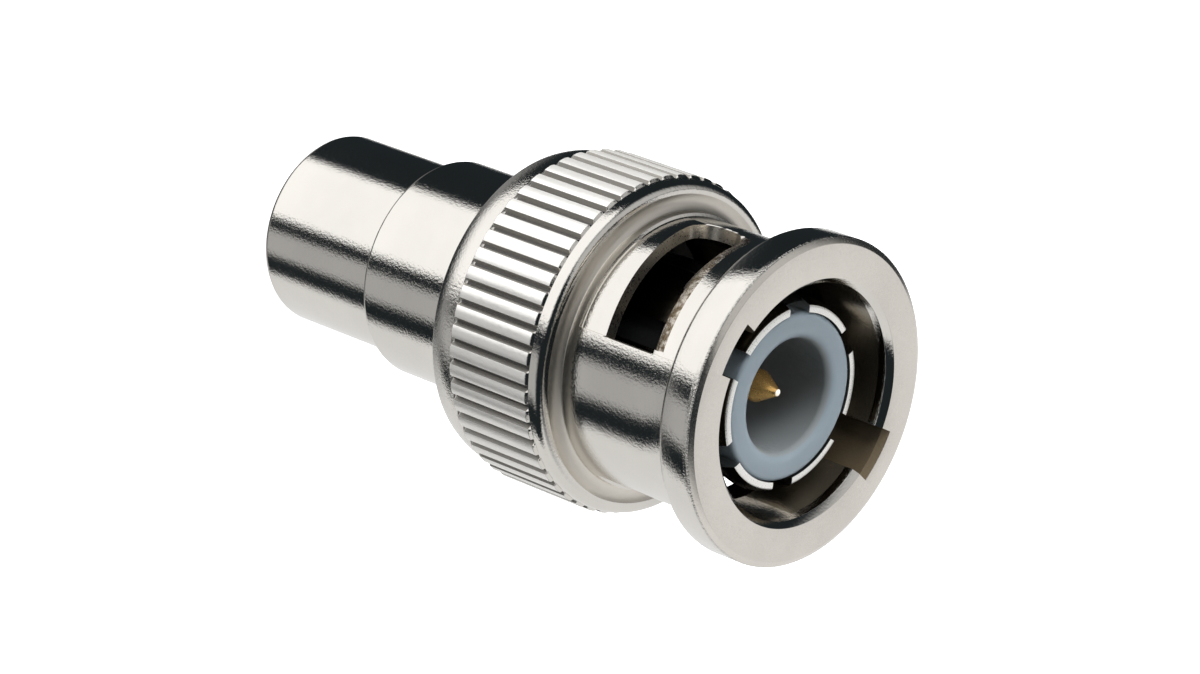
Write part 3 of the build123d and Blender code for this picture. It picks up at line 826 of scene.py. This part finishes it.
# A patch of the mouth's bore between these angles keeps the bright finish: a painted reflection, which turns
# with the nut.
painted_reflection_start, painted_reflection_end = 78, 128
land_rows = finish_rows == number_of["knurled_nickel"]
inside_rows = finish_rows == number_of["nickel_painted_shade_inside"]
bright_start = mouth_z - mouth_chamfer - bright_depth - hair
mouth_rows = (row_numbers > cavity_row) & (mid_height > bore_step_z - hair) & (mid_height < bright_start)
edge_rows = (row_numbers > cavity_row) & (mid_height > bright_start)
cell_turn = np.maximum(np.abs(groove_turn), np.abs(np.roll(groove_turn, -1)))
channel_cells = in_channel | np.roll(in_channel, -1)
painted_reflection_cells = (angles > painted_reflection_start) & (angles < painted_reflection_end)
inner_cells = (row_numbers >= cavity_row + 1)[:, None] & (height_rows > front_line + hair)
finish_grid = np.repeat(finish_rows, len(angles)).reshape(keep.shape)
# Groove walls and floors get the dark nickels: painted shade in the grooves.
finish_grid[np.ix_(land_rows, cell_turn <= groove_wall_turn)] = number_of["nickel_painted_shade_groove_wall"]
finish_grid[np.ix_(land_rows, cell_turn <= groove_floor_turn)] = number_of["nickel_painted_shade_groove_floor"]
# The mouth's bore below the bright band is painted shade, a dark nickel.
finish_grid[np.ix_(mouth_rows, ~channel_cells)] = number_of["nickel_painted_shade_bore"]
finish_grid[np.ix_(mouth_rows, painted_reflection_cells)] = number_of["bright_nickel"]
finish_grid[np.ix_(edge_rows & inside_rows, ~channel_cells)] = number_of["bright_nickel"]
# The entry channels inside the nut are painted shade, a dark brown nickel.
finish_grid[inner_cells & channel_cells & inside_rows[:, None]] = number_of["nickel_painted_shade_channel"]
worn_cells = np.ix_(np.arange(hole_top - 3, hole_top), over_window & np.roll(over_window, -1))
finish_grid[worn_cells] = number_of["worn_nickel"]
wall_numbers = np.full(sum(map(len, walls)), number_of["wall_nickel"])
finish_numbers = np.concatenate([finish_grid[keep], wall_numbers])
nut = piece_of("nut_surface", nut_points.reshape(-1, 3), np.concatenate([faces[keep], *walls]), nut_finishes,
               finish_numbers)
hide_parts("coupling_nut")
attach(nut, "nut")

# %% [markdown]
# ## Slotted tubes
# Two contacts are tubes with straight slots cut in from one end, which leaves springy fingers: six on the
# plug's outer contact and four on the jack's socket. A slot has parallel sides, so at radius r it takes
# up an angle of asin(w / r) to each side of its middle, w being half its width. Each column keeps its
# share of a finger or of a slot, and its angle follows from that share and the radius.

# %% Slotted tubes
finger_shares = np.concatenate([[-1, -0.97], np.linspace(-0.9, 0.9, 17), [0.97, 1]])
slot_shares = np.array([-0.5, 0, 0.5])


def slotted(name, outside, closed_end, bore_radius, count, width, first_angle, finishes, outside_numbers=0):
    """A tube with slots: outside runs from the open end to the slots' root, closed_end on to the bore.

    The bore gets a row at each height of the outside, so a slot's side is cells between the two walls.
    """
    outside, closed_end = np.asarray(outside, float), np.asarray(closed_end, float)
    inside = np.stack([np.full(len(outside), bore_radius), outside[:, 1]], axis=1)[::-1]
    profile = np.concatenate([outside, closed_end, inside])
    rows, cut_rows = len(profile), len(outside)
    in_finger = np.tile(np.r_[finger_shares * 0 + 1, slot_shares * 0], count).astype(bool)
    shares = np.tile(np.r_[finger_shares, slot_shares], count)
    per_finger = len(finger_shares) + len(slot_shares)
    number = np.repeat(np.arange(count), per_finger)
    half_pitch = np.pi / count
    finger_middle = np.radians(first_angle) + half_pitch + 2 * half_pitch * number
    radius, height = profile[:, 0][:, None], profile[:, 1][:, None]
    slot_half = np.arcsin(np.minimum(width / 2 / np.maximum(radius, 0.01), 0.9))
    turn = np.where(in_finger, finger_middle + shares * (half_pitch - slot_half),
                    finger_middle + half_pitch + shares * slot_half)
    points = np.stack([radius * np.cos(turn), radius * np.sin(turn), height + 0 * turn], axis=-1)
    columns = len(shares)
    cells = grid_faces(rows, columns, close_rows=True)
    keep = np.ones((rows, columns), bool)
    cut = np.r_[np.arange(cut_rows - 1), np.arange(rows - cut_rows, rows)]
    slot_cells = ~in_finger | np.roll(~in_finger, -1)
    keep[np.ix_(cut, slot_cells)] = False
    down = np.arange(cut_rows)
    sides = []
    for finger in range(count):
        last = finger * per_finger + len(finger_shares) - 1
        across = np.arange(last, last + len(slot_shares) + 2) % columns
        path_rows = np.r_[down, 0 * across[1:-1] + cut_rows - 1, down[::-1]]
        path_columns = np.r_[0 * down + across[0], across[1:-1], 0 * down + across[-1]]
        outer = path_rows * columns + path_columns
        inner = (rows - 1 - path_rows) * columns + path_columns
        sides.append(np.stack([outer[:-1], inner[:-1], inner[1:], outer[1:]], axis=1))
    row_numbers = np.zeros(rows, int)
    row_numbers[:cut_rows] = outside_numbers
    row_numbers[-cut_rows:] = row_numbers[:cut_rows][::-1]
    numbers = np.repeat(row_numbers[:, None], columns, axis=1)[keep]
    numbers = np.concatenate([numbers, np.zeros(sum(map(len, sides)), int)])
    return piece_of(name, points.reshape(-1, 3), np.concatenate([cells[keep], *sides]), finishes, numbers)


print("each finger has", len(finger_shares), "columns and each slot", len(slot_shares))

# %% The plug's outer contact
tip_z, tip_radius, tip_edge = 26.8, 3.86, 0.12
crown_radius, crown_z, root_radius, root_z = 4.05, 26.05, 3.9, 25.3
slot_root_z, collar_z, contact_bore = 18.63, 17.23, 3.53
contact_end_z, tail_radius, tail_bore = 13.15, 3.33, 2.64
tip_turns = np.linspace(0, np.pi / 2, 5)[:, None]
tip_centre = np.array([tip_radius - tip_edge, tip_z - tip_edge])
tip_arc = tip_centre + tip_edge * np.hstack([np.sin(tip_turns), np.cos(tip_turns)])
crown_steps = np.linspace(0, 1, 9)[1:, None]
crown_arc = np.hstack([
    tip_radius + (crown_radius - tip_radius) * np.sin(crown_steps * np.pi / 2),
    tip_z - tip_edge - (tip_z - tip_edge - crown_z) * crown_steps,
])
contact_outside = np.concatenate([tip_arc, crown_arc, [(root_radius, root_z), (root_radius, slot_root_z)]])
root_fillet, collar_edge = 0.06, 0.05
contact_rest = [
    (root_radius, collar_z + root_fillet), (root_radius + root_fillet, collar_z),
    (barrel_radius - collar_edge, collar_z), (barrel_radius, collar_z - collar_edge),
    (barrel_radius, neck_top_z), (tail_radius, neck_top_z), (tail_radius, contact_end_z),
    (tail_bore, contact_end_z), (tail_bore, neck_top_z), (contact_bore, neck_top_z),
]
finger_count, finger_slot, finger_start = 6, 1.15, 3.0
# Only the top of each finger's tip keeps a light finish; the rest of the fingers' outside is painted shade.
contact_numbers = np.where(np.arange(len(contact_outside)) < len(tip_arc) // 2, 1, 2)
contact = slotted("outer_contact_surface", contact_outside, contact_rest, contact_bore, finger_count,
                  finger_slot, finger_start, [contact_nickel, tip_nickel, nickel_painted_shade_fingers], contact_numbers)
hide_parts("outer_contact")
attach(contact, "body")

# %% The jack's socket
socket_mouth_z, socket_root_z, socket_floor_z, socket_top_z = 1.35, 6.85, 15.15, 16.5
socket_bore, socket_radius, boss_radius, pin_hole, press_z = 1.625, 1.975, 1.2, 0.695, 15.75
lead_width, lead_height = 0.1, 0.12
socket_cap_z = socket_floor_z + 0.35
socket_fingers, socket_slot, socket_start = 4, 0.3, 0.0
socket_outside = [
    (socket_radius - lead_width, socket_mouth_z), (socket_radius, socket_mouth_z + lead_height),
    (socket_radius, socket_root_z),
]
socket_rest = [
    (socket_radius, socket_cap_z), (boss_radius, socket_cap_z), (boss_radius, socket_top_z),
    (pin_hole, socket_top_z), (pin_hole, press_z), (0, press_z), (0, socket_floor_z),
    (socket_bore, socket_floor_z),
]
socket = slotted("rca_socket_surface", socket_outside, socket_rest, socket_bore, socket_fingers, socket_slot,
                 socket_start, [gold])
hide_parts("rca_socket_contact")
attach(socket, "body")

# %% [markdown]
# ## Insulators, pin and gasket
# These are plain turned or moulded rounds. The plug's insulator has a softly rounded mouth, and its outside
# below that is painted shade, a near-black plastic. The pin tapers to a small ball, the brightest point of
# the whole picture, whose pale finish is partly wear and partly a painted highlight.

# %% The plug's insulator
play = 0.02
plug_face_z, plug_floor_z, plug_bore, plug_radius = 26.77, 18.57, 2.38, 3.51
plug_painted_shade_z = 25.6
plug_corners = [
    (plug_bore, plug_floor_z, 0.1), (plug_bore, plug_face_z, 0.4), (plug_radius, plug_face_z, 0.2),
    (plug_radius, plug_painted_shade_z, 0), (plug_radius, neck_top_z, 0.05), (tail_bore - play, neck_top_z, 0),
    (tail_bore - play, contact_end_z, 0), (socket_radius + play, contact_end_z, 0),
    (socket_radius + play, socket_cap_z, 0), (boss_radius + play, socket_cap_z, 0),
    (boss_radius + play, socket_top_z, 0), (pin_hole, socket_top_z, 0), (pin_hole, plug_floor_z, 0.05),
]
plug_profile = rounded_corners(plug_corners)
# Below this height the insulator's outside is painted shade, a near-black plastic.
painted_shade_rows = (plug_profile[:, 0] > plug_radius - hair) & (plug_profile[:, 1] <= plug_painted_shade_z)
in_bore = (plug_profile[:, 0] < plug_bore + 0.1) & (plug_profile[:, 1] > plug_floor_z - hair)
plug_insulator = turned("plug_insulator_surface", plug_profile, [pale_plastic, plastic_painted_shade, bore_plastic],
                        columns=192, finish_rows=painted_shade_rows + 2 * in_bore)
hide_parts("bnc_insulator")
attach(plug_insulator, "body")

# %% The centre pin
pin_radius, pin_tip_z, pin_taper, pin_nose = 0.675, 26.14, 1.0, 0.19
nose_turns = np.linspace(0, 1, 8)[:, None] * np.radians(58)
nose_arc = np.hstack([pin_nose * np.sin(nose_turns), pin_tip_z - pin_nose + pin_nose * np.cos(nose_turns)])
pin_profile = np.concatenate([
    nose_arc, [(pin_radius - 0.03, pin_tip_z - pin_taper + 0.02), (pin_radius, pin_tip_z - pin_taper - 0.05),
               (pin_radius, press_z), (0, press_z)],
])
pin_finishes = (np.arange(len(pin_profile)) < len(nose_arc) - 2).astype(int)
pin = turned("centre_pin_surface", pin_profile, [gold, nose_wear_and_highlight_gold], columns=96, finish_rows=pin_finishes,
             close_rows=False)
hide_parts("centre_pin")
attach(pin, "body")

# %% The jack's insulator
jack_hole, jack_flare, jack_face = 1.7, 0.35, 0.8
jack_corners = [
    (jack_hole + jack_flare, rim_thickness, 0.08), (jack_bore_radius - play, rim_thickness, 0.05),
    (jack_bore_radius - play, web_z, 0), (socket_radius + play, web_z, 0),
    (socket_radius + play, rim_thickness + jack_face, 0), (jack_hole, rim_thickness + jack_face, 0.05),
]
jack_insulator = turned("jack_insulator_surface", rounded_corners(jack_corners), [white_plastic],
                        columns=160)
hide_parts("rca_insulator")
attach(jack_insulator, "body")

# %% The gasket
gasket_radius, gasket_z, gasket_top_z = 4.9, 16.35, 17.43
gasket_bore = neck_radius + play
gasket_corners = [
    (gasket_bore, gasket_z, 0.05), (gasket_radius, gasket_z, 0.1), (gasket_radius, gasket_top_z, 0.25),
    (gasket_bore, gasket_top_z, 0.1),
]
gasket = turned("gasket_surface", rounded_corners(gasket_corners, steps=6), [black_rubber], columns=192)
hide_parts("gasket")
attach(gasket, "body")

# %% [markdown]
# ## The wave washer and the flat rings
# The spring is a flat ring pressed into three waves. When the nut is pulled forward it flattens, so the
# piece is squashed with that joint: it shrinks towards the washer that pushes it. The flat washers and
# the retaining ring are hidden and right as solids, so they stay and only get their metal.

# %% The wave washer
spring_bore, spring_outer, spring_thickness, spring_middle_z = 4.25, 5.0, 0.22, 15.1
spring_waves, spring_swing = 3, 0.32
spring_edge, spring_columns = 0.05, 240
section_corners = [
    (spring_bore, -spring_thickness / 2), (spring_outer, -spring_thickness / 2),
    (spring_outer, spring_thickness / 2), (spring_bore, spring_thickness / 2),
]
section = rounded(section_corners, [spring_edge] * 4, steps=3)
spring_turns = np.linspace(0, 2 * np.pi, spring_columns, endpoint=False)
spring_lift = spring_swing * np.cos(spring_waves * spring_turns)
spring_points = np.stack([
    section[:, 0][:, None] * np.cos(spring_turns),
    section[:, 0][:, None] * np.sin(spring_turns),
    spring_middle_z + section[:, 1][:, None] + spring_lift,
], axis=-1)
spring_faces = grid_faces(len(section), spring_columns, close_rows=True).reshape(-1, 4)
spring = piece_of("wave_washer_surface", spring_points.reshape(-1, 3), spring_faces, [spring_bronze])
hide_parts("wave_washer")
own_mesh(spring)
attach(spring, "sprung_washer")

# %% Finish the solids that stay
kept_finishes = {
    "thrust_washer": spring_steel, "front_washer": spring_steel, "retaining_ring": spring_bronze,
}
for name, finish in kept_finishes.items():
    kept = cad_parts[name]
    kept.data.materials.clear()
    kept.data.materials.append(finish)
print("kept solids:", [name for name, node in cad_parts.items() if not node.hide_render])
